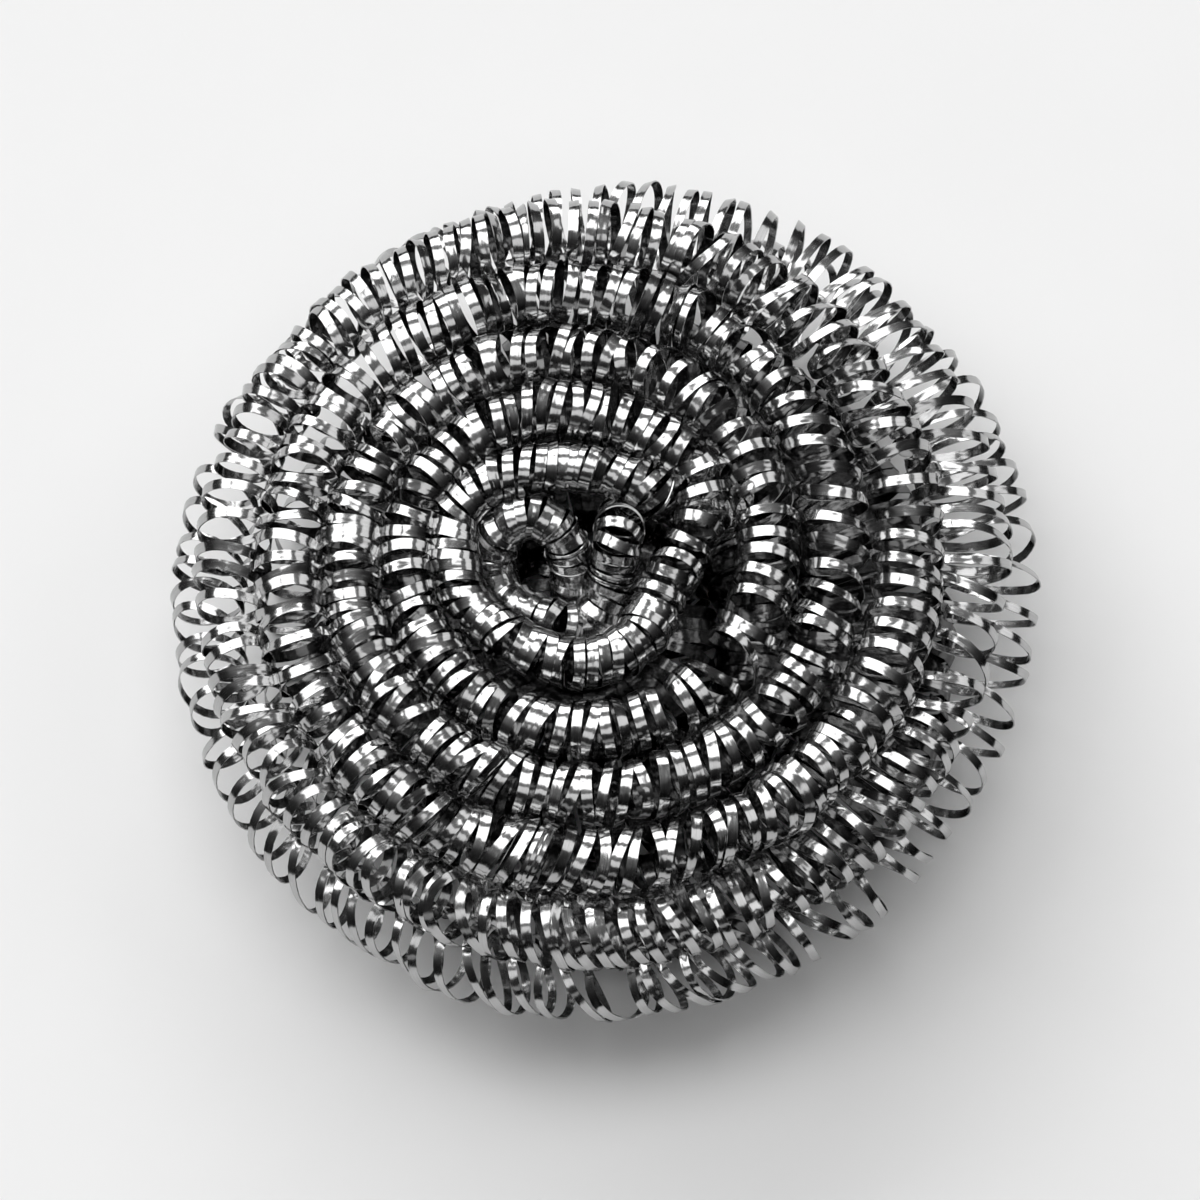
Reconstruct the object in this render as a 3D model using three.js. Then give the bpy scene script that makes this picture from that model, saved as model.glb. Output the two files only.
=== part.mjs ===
// Stainless steel spiral scourer: one flat steel ribbon is coiled into a long open spring, and
// the spring is wound into a bun. Its inner end arches through the hollow on top. From there the
// rings run out over the top, turn over the rim and come back in underneath, where the loops
// lie flat on the table. Millimetres, +Z up, origin on the table under the bun's middle.
import * as THREE from "three";

// The ribbon
const RIBBON_WIDTH = 1.8;
const TAIL_RIBBON_WIDTH = 1.1; // at the inner end, which bends sharply
const RIBBON_THICKNESS = 0.55;

// The bun, measured over its outermost loops
const BUN_WIDTH = 87;
const BUN_DEPTH = 91;
const BUN_HEIGHT = 27;

// The spring's outside diameter, which grows from its inner end to the foot
const TAIL_COIL = 4.2;
const HOLLOW_COIL = 4.6;
const RIM_COIL = 7.3;
const FOOT_COIL = 8.2;

// The winding, by the spring's centreline
const RING_GAP = 0.88; // free space between neighbouring rings
const HOLLOW_DIAMETER = 18; // where the winding starts
const HOLLOW_SHIFT = -2.8; // the hollow lies off the bun's middle
const CROWN_RISE = 0.8; // the first ring above the shoulder
const SHOULDER_DIAMETER = 62; // where the top turns over the rim
const RIM_HEIGHT = 10; // where the bun is widest
const FOOT_DIAMETER = 64; // where the underside comes down to the table
const HEEL_SHARE = 0.35; // how full the turn from the rim to the foot is
const EYE_DIAMETER = 14; // where the last ring ends underneath
const FOOT_HASTE = 4; // how much faster the spring runs in between the rim and the foot
const START_ANGLE = THREE.MathUtils.degToRad(66);

// The inner end's way from its free end: up, over an arch, round low in the hollow, over a second
// arch and round under the rings. Across, back and down from the top ring's height.
const TAIL_ROUTE = [
  [-2.2, -0.8, 12],
  [-2.3, 1.2, 6],
  [-3.5, 3.5, 3.1],
  [-6.2, 4.8, 2],
  [-9, 4.1, 3.3],
  [-10.4, 2.2, 6.8],
  [-8.9, -1.6, 8.5],
  [-4.6, -4.4, 7.2],
  [-0.6, -4.3, 8.4],
  [1.7, -1, 5.6],
  [2.4, 2.8, 2.4],
  [2.8, 6.3, 5.8],
  [4.6, 10.4, 9.4],
  [8.6, 13.6, 11.4],
  [12.8, 12.4, 11.4],
  [13.4, 8.4, 9.6],
  [10.2, 6.8, 6.4],
  [6.4, 7.8, 2.8],
];

// The first ring's way round the hollow, which is less even than the rings outside it
const FIRST_RING_ROUTE = [
  [2.2, 8.7, 0.4],
  [-3.4, 9.3, 0.1],
  [-8.9, 8.1, 0.1],
  [-12.7, 4, 0.2],
  [-13, -2.8, 0.2],
  [-9, -8.4, 0.2],
  [-2.6, -11.4, 0.2],
  [3.8, -9.8, 0.2],
  [6.6, -4.8, 0.2],
  [9, 0, 0.3],
  [10.8, 5.8, 0.4],
  [8.8, 11.1, 0.4],
];

// The spring's loops, which open up towards the foot
const LOOPS = 310;
const PITCH_RATIO = 2.5; // the last loop's pitch to the first one's
const SIDES_PER_LOOP = 6;
const POINTS_PER_RING = 48;

// A loop's flat sides lie closer to the centreline than its corners do
const flatShare = Math.cos(Math.PI / SIDES_PER_LOOP);
const crownHeight = BUN_HEIGHT - (HOLLOW_COIL / 2) * flatShare;
const shoulderHeight = crownHeight - CROWN_RISE;
const footHeight = (FOOT_COIL / 2) * flatShare;
const rimRadius = (BUN_WIDTH - RIM_COIL) / 2;
const depthScale = (BUN_DEPTH - RIM_COIL) / (BUN_WIDTH - RIM_COIL);

// Half of the bun's section: the top, the rim and the foot, from the hollow to the eye.
function bunSection() {
  const hollow = new THREE.Vector2(HOLLOW_DIAMETER / 2, crownHeight);
  const shoulder = new THREE.Vector2(SHOULDER_DIAMETER / 2, shoulderHeight);
  const crown = new THREE.Vector2((hollow.x + shoulder.x) / 2, shoulderHeight);
  const rim = new THREE.Vector2(rimRadius, RIM_HEIGHT);
  const foot = new THREE.Vector2(FOOT_DIAMETER / 2, footHeight);
  const heel = new THREE.Vector2(THREE.MathUtils.lerp(foot.x, rim.x, HEEL_SHARE), footHeight);
  const eye = new THREE.Vector2(EYE_DIAMETER / 2, footHeight);
  const section = new THREE.CurvePath();
  section.add(new THREE.QuadraticBezierCurve(hollow, crown, shoulder));
  section.add(
    new THREE.EllipseCurve(
      shoulder.x,
      rim.y,
      rim.x - shoulder.x,
      shoulder.y - rim.y,
      Math.PI / 2,
      0,
      true,
    ),
  );
  section.add(new THREE.QuadraticBezierCurve(rim, heel, foot));
  section.add(new THREE.LineCurve(foot, eye));
  return section;
}

// The spring's centreline, with its outside diameter and the ribbon's width at each point of it.
function windSpring() {
  const points = [];
  const diameters = [];
  const widths = [];

  const place = (x, y, z, diameter, width) => {
    points.push(new THREE.Vector3(x, y, z));
    diameters.push(diameter);
    widths.push(width);
  };

  for (const [across, back, down] of TAIL_ROUTE) {
    place(across, back, crownHeight - down, TAIL_COIL, TAIL_RIBBON_WIDTH);
  }
  for (const [across, back, down] of FIRST_RING_ROUTE) {
    place(across, back, crownHeight - down, HOLLOW_COIL, RIBBON_WIDTH);
  }

  // The even winding starts with the second ring
  const section = bunSection();
  const [, rimDistance, footDistance, sectionEnd] = section.getCurveLengths();
  let angle = START_ANGLE;
  let distance = HOLLOW_COIL + RING_GAP;
  while (distance < sectionEnd) {
    const toRim = Math.min(distance / rimDistance, 1);
    const toFoot = THREE.MathUtils.clamp((distance - rimDistance) / (footDistance - rimDistance), 0, 1);
    const diameter =
      THREE.MathUtils.lerp(HOLLOW_COIL, RIM_COIL, toRim) + (FOOT_COIL - RIM_COIL) * toFoot;
    const { x: radius, y: height } = section.getPoint(distance / sectionEnd);
    const x = radius * Math.cos(angle) + HOLLOW_SHIFT * (1 - toRim);
    place(x, radius * Math.sin(angle) * depthScale, height, diameter, RIBBON_WIDTH);
    angle += (2 * Math.PI) / POINTS_PER_RING;
    const haste = toFoot > 0 && toFoot < 1 ? FOOT_HASTE : 1;
    distance += (haste * (diameter + RING_GAP)) / POINTS_PER_RING;
  }

  const centreline = new THREE.CatmullRomCurve3(points);
  centreline.arcLengthDivisions = points.length * SIDES_PER_LOOP;
  return { centreline, diameters, widths };
}

// The ribbon's path round the spring, from flat side to flat side of each loop.
class RibbonPath extends THREE.Curve {
  constructor() {
    super();
    Object.assign(this, windSpring());
  }

  // Where the ribbon is at a share of its loops: the spring's axis there, and the way out of it.
  loopFrame(share) {
    const along = (share * (2 + (PITCH_RATIO - 1) * share)) / (1 + PITCH_RATIO);
    const t = this.centreline.getUtoTmapping(along);
    const axis = this.centreline.getTangent(t);
    const side = new THREE.Vector3(axis.y, -axis.x, 0).normalize();
    const lift = side.clone().cross(axis);
    const turn = 2 * Math.PI * LOOPS * share;
    const out = side.multiplyScalar(Math.cos(turn)).addScaledVector(lift, Math.sin(turn));
    return { t, axis, out };
  }

  // A value that is known at each point of the centreline, between two of them.
  valueAt(values, t) {
    const last = values.length - 1;
    const before = Math.min(Math.floor(t * last), last - 1);
    return THREE.MathUtils.lerp(values[before], values[before + 1], t * last - before);
  }

  getPoint(share) {
    const { t, out } = this.loopFrame(share);
    return this.centreline.getPoint(t).addScaledVector(out, this.valueAt(this.diameters, t) / 2);
  }

  getSpacedPoints(divisions) {
    return this.getPoints(divisions);
  }

  // The ribbon's width lies along the spring's axis, and its thickness points out of the spring.
  computeFrenetFrames(segments) {
    const frames = { tangents: [], normals: [], binormals: [] };
    for (let i = 0; i <= segments; i++) {
      const { t, axis, out } = this.loopFrame(i / segments);
      frames.tangents.push(out.clone().cross(axis));
      frames.normals.push(axis.multiplyScalar(-this.valueAt(this.widths, t)));
      frames.binormals.push(out);
    }
    return frames;
  }
}

// The ribbon is flat on the outside of the spring and crowned on the inside. The path stretches
// the section, which is one unit wide, to the ribbon's width.
function ribbonSection() {
  return new THREE.Shape([
    new THREE.Vector2(0, -RIBBON_THICKNESS),
    new THREE.Vector2(0.5, 0),
    new THREE.Vector2(-0.5, 0),
  ]);
}

function coiledRibbon() {
  const geometry = new THREE.ExtrudeGeometry(ribbonSection(), {
    steps: LOOPS * SIDES_PER_LOOP,
    extrudePath: new RibbonPath(),
    bevelEnabled: false,
  });
  const stainlessSteel = new THREE.MeshStandardMaterial({ color: 0xb8b8b8, metalness: 1, roughness: 0.15 });
  const ribbon = new THREE.Mesh(geometry, stainlessSteel);
  ribbon.name = "coiled_ribbon";
  return ribbon;
}

const scourer = new THREE.Group();
scourer.add(coiledRibbon());

export default scourer;
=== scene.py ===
# Looks of the stainless steel spiral scourer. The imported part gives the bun's size. The ribbon is
# wound here again at its real width and number of loops, along the same winding, with the small
# irregularities of a real one. Lengths are in millimetres until a mesh or a place is made of them.
# Places along the winding are given in turns from its start at the hollow.
import math

import bpy
import numpy as np
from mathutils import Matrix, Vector


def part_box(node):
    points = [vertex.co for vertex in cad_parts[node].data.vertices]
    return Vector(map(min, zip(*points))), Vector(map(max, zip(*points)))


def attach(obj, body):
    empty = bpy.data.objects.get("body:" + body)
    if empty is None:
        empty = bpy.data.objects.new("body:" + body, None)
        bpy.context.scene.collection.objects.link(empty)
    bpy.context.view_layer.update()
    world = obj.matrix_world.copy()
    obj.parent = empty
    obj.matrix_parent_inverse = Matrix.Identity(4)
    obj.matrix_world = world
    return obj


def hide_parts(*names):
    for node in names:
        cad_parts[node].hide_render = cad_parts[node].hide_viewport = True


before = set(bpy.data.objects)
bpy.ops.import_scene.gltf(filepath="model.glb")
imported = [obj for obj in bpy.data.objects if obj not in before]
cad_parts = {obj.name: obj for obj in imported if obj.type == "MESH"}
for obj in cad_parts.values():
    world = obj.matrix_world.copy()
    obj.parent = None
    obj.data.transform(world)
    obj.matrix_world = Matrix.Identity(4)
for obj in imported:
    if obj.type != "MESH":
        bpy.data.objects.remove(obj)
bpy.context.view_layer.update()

MM = 0.001
NODE = "coiled_ribbon"
SEED = 4

# The winding, as in the part's source
HOLLOW_COIL = 4.6
RIM_COIL = 7.3
FOOT_COIL = 8.2
RING_GAP = 0.88
HOLLOW_DIAMETER = 18.0
HOLLOW_SHIFT = -2.8
CROWN_RISE = 0.8
SHOULDER_DIAMETER = 62.0
RIM_HEIGHT = 10.0
FOOT_DIAMETER = 64.0
HEEL_SHARE = 0.35
FOOT_HASTE = 4.0
START_ANGLE = math.radians(66)
FLAT_SHARE = math.cos(math.pi / 6)  # a loop has six flat sides there

# The winding, where it differs from the source
CROWN_DEPTH = 2.4  # the first ring's centreline below the top of the bun
EYE_DIAMETER = 5.0  # the last half turn closes the eye
SECOND_RING_TURN = 1.0  # where the even winding takes over from the first ring's own way

# The outermost ring lies off the even oval: farther out on the right, farther in at the back left
BULGE = 3.3
BULGE_ANGLE = math.radians(38)
DENT = 1.8
DENT_ANGLE = math.radians(120)
DENT_REACH = math.radians(56)
OUTLINE_TURNS = (4.4, 5.2, 6.2, 6.8)

# The foot's first loops are slack and stand farther out
FOOT_SLACK = 3.0
FOOT_SLACK_TURNS = (6.5, 6.75, 7.0, 7.4)

# The inner end's way from its free end: up, over an arch, round low in the hollow, over a second
# arch and round under the rings. Across, back and down from the top ring's height, as in the source.
TAIL_ROUTE = (
    (-2.2, -0.8, 12.0),
    (-2.3, 1.2, 6.0),
    (-3.5, 3.5, 3.1),
    (-6.2, 4.8, 2.0),
    (-9.0, 4.1, 3.3),
    (-10.4, 2.2, 6.8),
    (-8.9, -1.6, 8.5),
    (-4.6, -4.4, 7.2),
    (-0.6, -4.3, 8.4),
    (1.7, -1.0, 5.6),
    (2.4, 2.8, 2.4),
    (2.8, 6.3, 5.8),
    (4.6, 10.4, 9.4),
    (8.6, 13.6, 11.4),
    (12.8, 12.4, 11.4),
    (13.4, 8.4, 9.6),
    (10.2, 6.8, 6.4),
    (6.4, 7.8, 2.8),
)
TAIL_RISE = 1.2  # the inner end stands higher above the first ring than in the source
TAIL_FORWARD = 0.48

# The first ring's way round the hollow. Here its loops press into their neighbours.
FIRST_RING_ROUTE = (
    (2.2, 8.7, 0.4),
    (-3.4, 9.4, 0.1),
    (-9.2, 8.4, 0.1),
    (-13.4, 5.0, 0.2),
    (-14.2, 0.6, 0.2),
    (-12.6, -5.0, 0.2),
    (-8.4, -9.2, 0.2),
    (-2.6, -11.7, 0.2),
    (2.0, -11.0, 0.2),
    (4.9, -8.6, 0.2),
    (6.6, -4.8, 0.2),
    (9.0, -0.2, 0.3),
    (11.0, 5.0, 0.4),
    (10.0, 10.2, 0.4),
)

# The ribbon's thickness, and along the winding, by its turns, the ribbon's width, the spring's
# outside diameter, the pitch of its loops and how irregular they are
RIBBON_THICKNESS = 0.13
SPRING_TURNS = (-1.2, 0.0, 0.7, 1.0, 2.0, 3.0, 4.0, 4.8, 5.6, 6.3, 6.8, 12.0)
RIBBON_WIDTHS = (1.1, 1.1, 1.1, 1.1, 1.1, 1.1, 1.05, 0.95, 0.85, 0.9, 1.3, 1.3)
SPRING_DIAMETERS = (4.5, 5.1, 5.3, 5.9, 6.3, 6.6, 7.0, 7.4, 7.8, 8.3, 9.2, 9.2)
SPRING_PITCHES = (0.75, 1.15, 1.4, 1.85, 1.8, 1.8, 1.9, 2.2, 2.6, 2.3, 1.4, 1.4)
SPRING_UNREST = (0.4, 0.7, 1.0, 1.0, 1.0, 1.0, 1.0, 1.0, 1.0, 1.0, 0.5, 0.5)

# How far the loops are drawn apart on each side of the bun, as a share of their pitch
OPEN_TURNS = (0.8, 1.2, 6.4, 6.8)
OUTER_TURNS = (4.0, 4.6, 6.2, 7.0)
OPEN_RIGHT = 0.4
RIGHT_POWER = 1.5  # how closely the opening keeps to the right side
OPEN_LEFT = 0.05
OPEN_OUTER_LEFT = 0.25
CLOSE_FRONT_AND_BACK = 0.1

# The loops' irregularities, and the millimetres or loops over which each of them changes
PITCH_STRAY = 0.2
PITCH_STRAY_RUN = 4.0
SLOW_SWELL = 0.055
SLOW_SWELL_LOOPS = 2.5
QUICK_SWELL = 0.035
QUICK_SWELL_LOOPS = 0.5
SWELL_LIMITS = (-0.14, 0.1)
SLOW_LEAN = 0.12
SLOW_LEAN_RUN = 22.0
QUICK_LEAN = 0.15
QUICK_LEAN_LOOPS = 0.8
ROLL = math.radians(16)
ROLL_LOOPS = 0.7

# The outermost loops' own lean, as shares of their radius, and how much of it is left at the foot
FRONT_LEAN_OUT = 0.04
FRONT_LEAN_UP = 0.45
LEFT_LEAN_UP = 0.3
FOOT_LEAN = 0.3

# How finely the winding and the loops are drawn
SECTION_POINTS = 200
POINTS_PER_RING = 72
KNOTS_PER_RING = 12
STEPS_PER_KNOT = 24
CENTRE_SPACING = 0.1
TOP_STEPS = 30  # round a loop
UNDER_STEPS = 14
UNDER_TURN = 6.5

# The steel. Its marks and waves are noise along and across the ribbon, by the metre.
STEEL_TONES = (0.4, 0.5)
STEEL_ROUGHNESS = (0.1, 0.2)
MARK_SCALE = (150.0, 9000.0, 1.0)
MARK_DETAIL = 4.0
MARK_LIMITS = (0.3, 0.7)
MARK_STRENGTH = 0.06
MARK_DEPTH = 0.02
WAVE_SCALE = (500.0, 900.0, 1.0)
WAVE_DETAIL = 1.0
WAVE_STRENGTH = 1.0
WAVE_DEPTH = 0.1

# Painted shade, where shade falls: the steel's colour is darkened underneath, and on the face inside the
# spring
PAINTED_SHADE_TONE = 0.22
PAINTED_SHADE_RUN = 300.0  # along the ribbon, until the painted shade underneath is full
INSIDE_OFFSET = 10.0  # sets the inside face's coordinates apart from the outside face's
INSIDE_TURNS = (4.0, 4.8)  # where the ribbon's face inside the spring comes into the open
# how much of the painted shade is left on the inside face where it lies open
OPEN_INSIDE_PAINTED_SHADE = 0.45
INSIDE_SIDE = 2  # of the ribbon's four sides
CORNERS_ACROSS = (-0.5, 0.5, 0.5, -0.5)  # of the ribbon's section, in widths from its middle

# The floor
FLOOR_HALF = 3.0  # in metres, from its middle to a side
FLOOR_TONES = (0.82, 0.84)
FLOOR_GRAIN = 60.0
FLOOR_ROUGHNESS = 0.9
FLOOR_SPECULAR = 0.1

# The panel lights: azimuth and elevation in degrees, width and height as shares of the distance, and
# radiance
PANEL_DISTANCE = 4.5  # in metres
PANEL_AIM = 15.0  # the height they look at
PANELS = {
    "key_panel": (105, 77, (0.73, 0.6), 2.6),
    "left_panel": (158, 46, (0.58, 0.54), 2.9),
    "back_panel": (108, 29, (1.3, 0.48), 3.9),
    "right_panel": (25, 40, (0.54, 0.46), 1.3),
    "top_panel": (-88, 60, (0.7, 0.34), 1.1),
    "front_strip": (-90, 22, (0.67, 0.17), 0.4),
}

# The sky is brightest here, in degrees, and its tones go with the cosine of the angle from there
SKY_AZIMUTH = 118
SKY_ELEVATION = 71
SKY_STOPS = ((0.0, 0.004), (0.5, 0.045), (1.0, 0.32))

# The camera, as the photograph shows the bun
CAMERA_ELEVATION = math.radians(68)
CAMERA_DISTANCE = 700.0
CAMERA_LOOK = (0.6, 0.0, 12.0)
CAMERA_CLIP = 10.0
PHOTO_WIDTH = 1200  # px
PHOTO_SCALE = 9.8  # px to a millimetre
SENSOR_WIDTH = 36.0


def unit(vectors):
    return vectors / np.linalg.norm(vectors, axis=1)[:, None]


def add_up(steps):
    """The sum up to each place between the steps, from 0."""
    return np.concatenate([[0], np.cumsum(steps)])


def lengths_along(points):
    return add_up(np.linalg.norm(np.diff(points, axis=0), axis=1))


def points_at(places, run, points):
    """The points, which lie at the lengths in run, read off at other places."""
    return np.stack([np.interp(places, run, points[:, i]) for i in range(3)], 1)


def share_within(turn, turns, left_over=0.0):
    """Rises to 1 between the first two turns and falls to what is left over between the last two."""
    return np.interp(turn, turns, (0.0, 1.0, 1.0, left_over))


def sides(turn):
    """How much a place on the winding lies on the right, at the back, on the left and in front."""
    azimuth = START_ANGLE + 2 * math.pi * turn
    across, back = np.cos(azimuth), np.sin(azimuth)
    return [np.maximum(0, side) for side in (across, back, -across, -back)]


def wander(rng, places, spacing):
    """Smooth random values about 0, that change over the spacing."""
    knots = rng.normal(size=int(places.max() / spacing) + 3)
    at = places / spacing
    before = at.astype(int)
    blend = at - before
    blend = blend * blend * (3 - 2 * blend)
    return knots[before] * (1 - blend) + knots[before + 1] * blend


def bend(start, pull, end):
    """A curve from start to end that is drawn towards the pull."""
    t = np.linspace(0, 1, SECTION_POINTS)[:, None]
    return (1 - t) ** 2 * start + 2 * t * (1 - t) * pull + t**2 * end


def bun_section():
    """Points of half the bun's section from the hollow to the eye, and lengths along it.

    The lengths are those of each point, of the rim and of the foot.
    """
    low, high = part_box(NODE)
    crown_height = high.z / MM - CROWN_DEPTH
    shoulder_height = crown_height - CROWN_RISE
    foot_height = FOOT_COIL / 2 * FLAT_SHARE
    hollow = np.array([HOLLOW_DIAMETER / 2, crown_height])
    shoulder = np.array([SHOULDER_DIAMETER / 2, shoulder_height])
    crown = np.array([(hollow[0] + shoulder[0]) / 2, shoulder_height])
    rim = np.array([(high.x - low.x) / MM / 2 - RIM_COIL / 2, RIM_HEIGHT])
    foot = np.array([FOOT_DIAMETER / 2, foot_height])
    heel = np.array([foot[0] + (rim[0] - foot[0]) * HEEL_SHARE, foot_height])
    eye = np.array([EYE_DIAMETER / 2, foot_height])
    turn = np.linspace(0, math.pi / 2, SECTION_POINTS)[:, None]
    middle = np.array([shoulder[0], rim[1]])
    top = bend(hollow, crown, shoulder)
    over = middle + (rim - middle) * np.sin(turn) + (shoulder - middle) * np.cos(turn)
    under = bend(rim, heel, foot)
    flat = np.linspace(foot, eye, SECTION_POINTS)
    points = np.concatenate([top, over[1:], under[1:], flat[1:]])
    length = lengths_along(points)
    to_rim = length[len(top) + len(over) - 2]
    to_foot = length[len(top) + len(over) + len(under) - 3]
    return points, length, to_rim, to_foot


def stand_out(turn):
    """How much farther out than on the even oval a loop's centre lies at a place on the winding.

    The loop is widened by as much to both sides, so that its inner side stays in place.
    """
    angle = START_ANGLE + 2 * math.pi * turn
    bulge = BULGE * np.maximum(0, np.cos(angle - BULGE_ANGLE)) ** 2
    off_dent = np.abs((angle - DENT_ANGLE + math.pi) % (2 * math.pi) - math.pi)
    dent = DENT * np.cos(np.minimum(off_dent / DENT_REACH, 1) * math.pi / 2)
    outline = (bulge - dent) * share_within(turn, OUTLINE_TURNS)
    return outline / 2 + FOOT_SLACK * share_within(turn, FOOT_SLACK_TURNS)


def even_winding(section, length, to_rim, to_foot):
    """Points of the winding from the second ring on, and the turn at each of them."""
    low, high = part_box(NODE)
    width, depth = (high.x - low.x) / MM, (high.y - low.y) / MM
    depth_scale = (depth - RIM_COIL) / (width - RIM_COIL)
    points, turns = [], []
    distance, turn = 0.0, 0.0
    while distance < length[-1]:
        if turn >= SECOND_RING_TURN:
            angle = START_ANGLE + 2 * math.pi * turn
            radius = np.interp(distance, length, section[:, 0]) + stand_out(turn)
            x = radius * math.cos(angle) + HOLLOW_SHIFT * (1 - min(distance / to_rim, 1))
            y = radius * math.sin(angle) * depth_scale
            points.append((x, y, np.interp(distance, length, section[:, 1])))
            turns.append(turn)
        coil = np.interp(distance, [0, to_rim, to_foot], [HOLLOW_COIL, RIM_COIL, FOOT_COIL])
        haste = FOOT_HASTE if to_rim < distance < to_foot else 1.0
        distance += haste * (coil + RING_GAP) / POINTS_PER_RING
        turn += 1 / POINTS_PER_RING
    return np.array(points), np.array(turns)


def wind_spring():
    """The spring's centreline, and the winding's turn and the length at each point of it."""
    section, length, to_rim, to_foot = bun_section()
    points, turns = even_winding(section, length, to_rim, to_foot)
    tail = np.array(TAIL_ROUTE) + (0.0, -TAIL_FORWARD, -TAIL_RISE)
    start = np.concatenate([tail, FIRST_RING_ROUTE])
    start[:, 2] = section[0, 1] - start[:, 2]
    tail_turns = np.linspace(SPRING_TURNS[0], 0, len(TAIL_ROUTE), endpoint=False)
    first_turns = np.linspace(0, SECOND_RING_TURN, len(FIRST_RING_ROUTE), endpoint=False)
    every = POINTS_PER_RING // KNOTS_PER_RING
    knots = np.concatenate([start, points[::every]])
    return smooth_curve(knots, np.concatenate([tail_turns, first_turns, turns[::every]]))


def smooth_curve(knots, values):
    """A Catmull-Rom curve through the knots, evenly spaced by length, with the values carried along."""
    padded = np.concatenate([[2 * knots[0] - knots[1]], knots, [2 * knots[-1] - knots[-2]]])
    t = np.linspace(0, 1, STEPS_PER_KNOT, endpoint=False)[None, :, None]
    before, here, there, beyond = (padded[i : len(knots) - 1 + i, None, :] for i in range(4))
    slope = (there - before) * t
    square = (2 * before - 5 * here + 4 * there - beyond) * t**2
    cube = (3 * here - before - 3 * there + beyond) * t**3
    pieces = 0.5 * (2 * here + slope + square + cube)
    curve = np.concatenate([pieces.reshape(-1, 3), knots[-1:]])
    carried = np.interp(np.arange(len(curve)) / STEPS_PER_KNOT, np.arange(len(knots)), values)
    run = lengths_along(curve)
    even = np.arange(0, run[-1], CENTRE_SPACING)
    return points_at(even, run, curve), np.interp(even, run, carried), even


def openness(turn):
    """How far the loops are drawn apart round the bun: most on the right, and on the outermost left."""
    right, back, left, front = sides(turn)
    open_left = OPEN_LEFT + OPEN_OUTER_LEFT * share_within(turn, OUTER_TURNS)
    drawn = OPEN_RIGHT * right**RIGHT_POWER + open_left * left - CLOSE_FRONT_AND_BACK * (front + back)
    return 1 + drawn * share_within(turn, OPEN_TURNS)


def space_loops(rng, turns, run):
    """Steps along the ribbon at an uneven pitch: the place on the centreline and the loops up to it."""
    unrest = np.interp(turns, SPRING_TURNS, SPRING_UNREST)
    stray = np.exp(unrest * PITCH_STRAY * wander(rng, run, PITCH_STRAY_RUN))
    pitch = np.interp(turns, SPRING_TURNS, SPRING_PITCHES) * openness(turns) * stray
    loops = add_up(np.diff(run) / pitch[1:])
    steps = np.where(turns < UNDER_TURN, TOP_STEPS, UNDER_STEPS)
    count = add_up(np.diff(loops) * steps[1:])
    at = np.interp(np.arange(0, count[-1]), count, run)
    return at, np.interp(at, run, loops)


def loop_radius(rng, loop, turn, unrest):
    """The loops' radius at each step. Each loop is a little out of round."""
    diameter = np.interp(turn, SPRING_TURNS, SPRING_DIAMETERS)
    slow = SLOW_SWELL * wander(rng, loop, SLOW_SWELL_LOOPS)
    quick = QUICK_SWELL * wander(rng, loop, QUICK_SWELL_LOOPS)
    return diameter / 2 * (1 + np.clip(unrest * (slow + quick), *SWELL_LIMITS))


def stray_lean(rng, at, loop):
    return SLOW_LEAN * wander(rng, at, SLOW_LEAN_RUN) + QUICK_LEAN * wander(rng, loop, QUICK_LEAN_LOOPS)


def loop_lean(rng, at, loop, turn, unrest):
    """How far each step is moved along the spring, as a share of the radius.

    Each loop leans a little, and the outermost ones in front and on the left lean most.
    """
    _, _, left, front = sides(turn)
    outer = share_within(turn, OUTER_TURNS, FOOT_LEAN)
    lean_out = FRONT_LEAN_OUT * outer * front + unrest * stray_lean(rng, at, loop)
    lean_up = -outer * (FRONT_LEAN_UP * front + LEFT_LEAN_UP * left) + unrest * stray_lean(rng, at, loop)
    angle = 2 * math.pi * loop
    return lean_out * np.cos(angle) + lean_up * np.sin(angle)


def ribbon_path(rng, at, loop, turn, unrest, centreline):
    """The ribbon's path round the spring, and the way out of the spring at each step of it."""
    centre, run = centreline
    angle = 2 * math.pi * loop
    radius = loop_radius(rng, loop, turn, unrest)
    place = np.clip(at + radius * loop_lean(rng, at, loop, turn, unrest), 0, run[-1])
    axis = unit(np.gradient(centre, axis=0))
    along = unit(points_at(place, run, axis))
    side = unit(np.stack([along[:, 1], -along[:, 0], np.zeros(len(along))], 1))
    lift = np.cross(side, along)
    out = side * np.cos(angle)[:, None] + lift * np.sin(angle)[:, None]
    stretch = side * (stand_out(turn) * np.cos(angle))[:, None]
    path = points_at(place, run, centre) + out * radius[:, None] + stretch
    path[:, 2] = np.maximum(path[:, 2], RIBBON_THICKNESS)
    return path, out


def ribbon_sections():
    """The corners of the ribbon's section at each step, and the length, width and turn there."""
    rng = np.random.RandomState(SEED)
    centre, turns, run = wind_spring()
    at, loop = space_loops(rng, turns, run)
    turn = np.interp(at, run, turns)
    unrest = np.interp(turn, SPRING_TURNS, SPRING_UNREST)
    path, out = ribbon_path(rng, at, loop, turn, unrest, (centre, run))

    # The ribbon lies flat round the spring, with a slight roll
    forward = unit(np.gradient(path, axis=0))
    face = unit(out - forward * np.sum(out * forward, axis=1)[:, None])
    across = np.cross(forward, face)
    roll = ROLL * wander(rng, loop, ROLL_LOOPS)
    tilted = face * np.cos(roll)[:, None] + across * np.sin(roll)[:, None]
    width = np.interp(turn, SPRING_TURNS, RIBBON_WIDTHS)
    edge = np.cross(forward, tilted) * width[:, None] / 2
    depth = tilted * RIBBON_THICKNESS
    rings = np.stack([path - edge, path + edge, path + edge - depth, path - edge - depth], 1)
    rings[:, :, 2] = np.maximum(rings[:, :, 2], 0)
    return rings, lengths_along(path), width, turn


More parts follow.
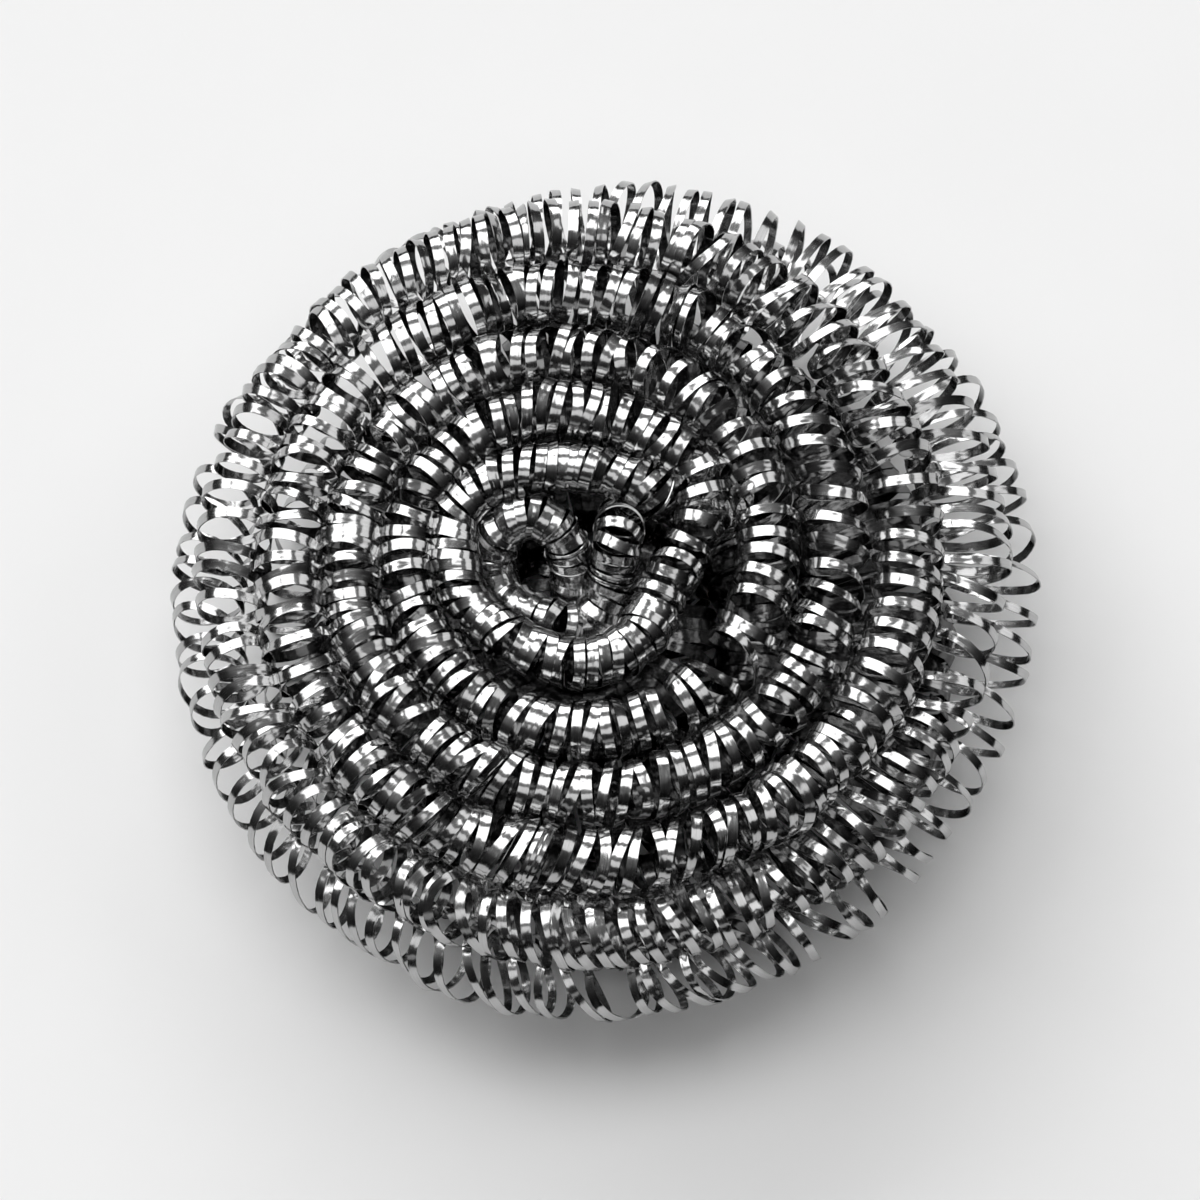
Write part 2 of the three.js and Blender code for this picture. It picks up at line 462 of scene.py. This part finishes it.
def ribbon_object():
    rings, length, width, turn = ribbon_sections()
    count, corners = rings.shape[:2]
    start = np.arange(count - 1)[:, None] * corners
    corner = np.arange(corners)[None, :]
    after = (corner + 1) % corners
    quads = np.stack([start + corner, start + corner + corners, start + after + corners, start + after], 2)
    faces = quads.reshape(-1, 4).tolist()
    faces.append(list(range(corners)))
    faces.append(list(range(count * corners - 1, (count - 1) * corners - 1, -1)))
    mesh = bpy.data.meshes.new("steel_ribbon")
    mesh.from_pydata((rings.reshape(-1, 3) * MM).tolist(), [], faces)
    mesh.polygons.foreach_set("use_smooth", np.ones(len(faces), bool))
    ribbon_coordinates(mesh, length, width)
    sharpen_edges(mesh, corners)
    mesh.materials.append(steel_material(*np.interp([*INSIDE_TURNS, UNDER_TURN], turn, length)))
    ribbon = bpy.data.objects.new("steel_ribbon", mesh)
    bpy.context.scene.collection.objects.link(ribbon)
    return ribbon


def ribbon_coordinates(mesh, length, width):
    """Distance along the ribbon and place across it, in metres, for the steel's rolling marks and its
    painted shade.

    The face inside the spring is set off from the face outside it.
    """
    across = np.array(CORNERS_ACROSS)
    loop_verts = np.zeros(len(mesh.loops), np.int32)
    mesh.loops.foreach_get("vertex_index", loop_verts)
    step, corner = np.divmod(loop_verts, len(across))
    quad = np.arange(len(mesh.loops)) // 4
    inside = quad % len(across) == INSIDE_SIDE
    layer = mesh.uv_layers.new(name="ribbon")
    uv = np.stack([length[step], across[corner] * width[step] + inside * INSIDE_OFFSET], 1) * MM
    layer.uv.foreach_set("vector", uv.astype(np.float32).ravel())


def sharpen_edges(mesh, corners):
    """The ribbon's four long edges stay crisp, and so do its ends."""
    pairs = np.zeros(len(mesh.edges) * 2, np.int32)
    mesh.edges.foreach_get("vertices", pairs)
    first, second = pairs.reshape(-1, 2).T
    lengthways = first % corners == second % corners
    last = len(mesh.vertices) - corners
    ends = ((first < corners) & (second < corners)) | ((first >= last) & (second >= last))
    sharp = mesh.attributes.new("sharp_edge", "BOOLEAN", "EDGE")
    sharp.data.foreach_set("value", lengthways | ends)


def grey(tone):
    return (tone, tone, tone, 1.0)


def add_tones(tree, value, stops):
    """A grey tone for the value, from stops of a place and the tone there."""
    ramp = tree.nodes.new("ShaderNodeValToRGB")
    elements = ramp.color_ramp.elements
    while len(elements) < len(stops):
        elements.new(1.0)
    for element, (place, tone) in zip(elements, stops):
        element.position = place
        element.color = grey(tone)
    tree.links.new(value, ramp.inputs["Fac"])
    return ramp.outputs["Color"]


def add_noise(tree, place, scale, detail):
    """Noise over the place, at the scale along each of its axes."""
    stretch = tree.nodes.new("ShaderNodeMapping")
    stretch.inputs["Scale"].default_value = scale
    tree.links.new(place, stretch.inputs["Vector"])
    noise = tree.nodes.new("ShaderNodeTexNoise")
    noise.inputs["Scale"].default_value = 1.0
    noise.inputs["Detail"].default_value = detail
    tree.links.new(stretch.outputs["Vector"], noise.inputs["Vector"])
    return noise.outputs["Fac"]


def add_range(tree, value, limits, results=(0.0, 1.0)):
    """Runs from the first result to the second while the value runs between the limits."""
    change = tree.nodes.new("ShaderNodeMapRange")
    change.inputs["From Min"].default_value, change.inputs["From Max"].default_value = limits
    change.inputs["To Min"].default_value, change.inputs["To Max"].default_value = results
    tree.links.new(value, change.inputs["Value"])
    return change.outputs["Result"]


def add_math(tree, operation, first, second):
    result = tree.nodes.new("ShaderNodeMath")
    result.operation = operation
    tree.links.new(first, result.inputs[0])
    tree.links.new(second, result.inputs[1])
    return result.outputs["Value"]


def add_bump(tree, height, strength, depth):
    bump = tree.nodes.new("ShaderNodeBump")
    bump.inputs["Strength"].default_value = strength
    bump.inputs["Distance"].default_value = depth * MM
    tree.links.new(height, bump.inputs["Height"])
    return bump


def painted_shade_share(tree, place, open_from, open_to, under_from):
    """How much painted shade darkens the steel: on the face inside the spring until it opens, and
    underneath.
    """
    split = tree.nodes.new("ShaderNodeSeparateXYZ")
    tree.links.new(place, split.inputs["Vector"])
    inside = tree.nodes.new("ShaderNodeMath")
    inside.operation = "GREATER_THAN"
    inside.inputs[1].default_value = INSIDE_OFFSET / 2 * MM
    tree.links.new(split.outputs["Y"], inside.inputs[0])
    along = split.outputs["X"]
    closed = add_range(tree, along, (open_from * MM, open_to * MM), (1.0, OPEN_INSIDE_PAINTED_SHADE))
    within = add_math(tree, "MULTIPLY", inside.outputs["Value"], closed)
    beneath = add_range(tree, along, (under_from * MM, (under_from + PAINTED_SHADE_RUN) * MM))
    return add_math(tree, "MAXIMUM", within, beneath)


def steel_material(open_from, open_to, under_from):
    """Bright rolled stainless steel, with fine marks along the ribbon and slight waves, and painted shade
    underneath and inside the spring.
    """
    material = bpy.data.materials.new("bright_stainless_steel")
    material.use_nodes = True
    tree = material.node_tree
    shader = tree.nodes["Principled BSDF"]
    shader.inputs["Metallic"].default_value = 1.0
    coordinates = tree.nodes.new("ShaderNodeUVMap")
    coordinates.uv_map = "ribbon"
    place = coordinates.outputs["UV"]

    marks = add_noise(tree, place, MARK_SCALE, MARK_DETAIL)
    roughness = add_range(tree, marks, MARK_LIMITS, STEEL_ROUGHNESS)
    tree.links.new(roughness, shader.inputs["Roughness"])
    tone = add_tones(tree, marks, tuple(zip(MARK_LIMITS, STEEL_TONES)))
    # painted shade: the steel's colour darkened underneath and on the face inside the spring
    painted_shade = tree.nodes.new("ShaderNodeMix")
    painted_shade.data_type = "RGBA"
    painted_shade.blend_type = "MULTIPLY"
    painted_shade.inputs["B"].default_value = grey(PAINTED_SHADE_TONE)
    shade_amount = painted_shade_share(tree, place, open_from, open_to, under_from)
    tree.links.new(shade_amount, painted_shade.inputs["Factor"])
    tree.links.new(tone, painted_shade.inputs["A"])
    tree.links.new(painted_shade.outputs["Result"], shader.inputs["Base Color"])

    waves = add_bump(tree, add_noise(tree, place, WAVE_SCALE, WAVE_DETAIL), WAVE_STRENGTH, WAVE_DEPTH)
    scratches = add_bump(tree, marks, MARK_STRENGTH, MARK_DEPTH)
    tree.links.new(waves.outputs["Normal"], scratches.inputs["Normal"])
    tree.links.new(scratches.outputs["Normal"], shader.inputs["Normal"])
    return material


def floor_material():
    material = bpy.data.materials.new("pale_floor")
    material.use_nodes = True
    tree = material.node_tree
    shader = tree.nodes["Principled BSDF"]
    shader.inputs["Roughness"].default_value = FLOOR_ROUGHNESS
    shader.inputs["Specular IOR Level"].default_value = FLOOR_SPECULAR
    place = tree.nodes.new("ShaderNodeTexCoord")
    grain = tree.nodes.new("ShaderNodeTexNoise")
    grain.inputs["Scale"].default_value = FLOOR_GRAIN
    tree.links.new(place.outputs["Object"], grain.inputs["Vector"])
    tone = add_tones(tree, grain.outputs["Fac"], tuple(zip((0.0, 1.0), FLOOR_TONES)))
    tree.links.new(tone, shader.inputs["Base Color"])
    return material


def add_floor():
    half = FLOOR_HALF
    corners = [(-half, -half, 0), (half, -half, 0), (half, half, 0), (-half, half, 0)]
    mesh = bpy.data.meshes.new("floor")
    mesh.from_pydata(corners, [], [(0, 1, 2, 3)])
    mesh.materials.append(floor_material())
    floor = bpy.data.objects.new("floor", mesh)
    bpy.context.scene.collection.objects.link(floor)


def direction(azimuth, elevation):
    turn, rise = math.radians(azimuth), math.radians(elevation)
    return Vector((math.cos(turn) * math.cos(rise), math.sin(turn) * math.cos(rise), math.sin(rise)))


def face_along(thing, way):
    """Turns a light or camera so that it looks along the way."""
    thing.rotation_euler = way.to_track_quat("-Z", "Y").to_euler()


def add_panel(name, azimuth, elevation, spread, radiance):
    """A soft panel light that faces the bun, with a plain radiance over its face."""
    width, height = (PANEL_DISTANCE * share for share in spread)
    light = bpy.data.lights.new(name, "AREA")
    light.shape = "RECTANGLE"
    light.size, light.size_y = width, height
    light.energy = radiance * width * height * math.pi
    lamp = bpy.data.objects.new(name, light)
    out = direction(azimuth, elevation)
    lamp.location = Vector((0, 0, PANEL_AIM * MM)) + out * PANEL_DISTANCE
    face_along(lamp, -out)
    bpy.context.scene.collection.objects.link(lamp)


def add_sky():
    """Faint light, brightest above the back, which fades towards the front and the horizon."""
    world = bpy.data.worlds.new("studio")
    world.use_nodes = True
    tree = world.node_tree
    place = tree.nodes.new("ShaderNodeTexCoord")
    facing = tree.nodes.new("ShaderNodeVectorMath")
    facing.operation = "DOT_PRODUCT"
    facing.inputs[1].default_value = direction(SKY_AZIMUTH, SKY_ELEVATION)
    tree.links.new(place.outputs["Generated"], facing.inputs[0])
    fade = add_tones(tree, facing.outputs["Value"], SKY_STOPS)
    tree.links.new(fade, tree.nodes["Background"].inputs["Color"])
    bpy.context.scene.world = world


def add_lights():
    for name, panel in PANELS.items():
        add_panel(name, *panel)
    add_sky()


def add_camera():
    """Looks down on the bun from the front, with the bun where it is in the photograph's frame."""
    back = Vector((0, -math.cos(CAMERA_ELEVATION), math.sin(CAMERA_ELEVATION)))
    camera = bpy.data.objects.new("camera", bpy.data.cameras.new("camera"))
    camera.data.sensor_width = SENSOR_WIDTH
    camera.data.lens = SENSOR_WIDTH * CAMERA_DISTANCE / (PHOTO_WIDTH / PHOTO_SCALE)
    camera.data.clip_start = CAMERA_CLIP * MM
    camera.location = (Vector(CAMERA_LOOK) + back * CAMERA_DISTANCE) * MM
    face_along(camera, -back)
    bpy.context.scene.collection.objects.link(camera)
    bpy.context.scene.camera = camera


ribbon = ribbon_object()
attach(ribbon, "root")
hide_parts(NODE)
add_floor()
add_lights()
add_camera()
bpy.context.scene.view_settings.view_transform = "Standard"
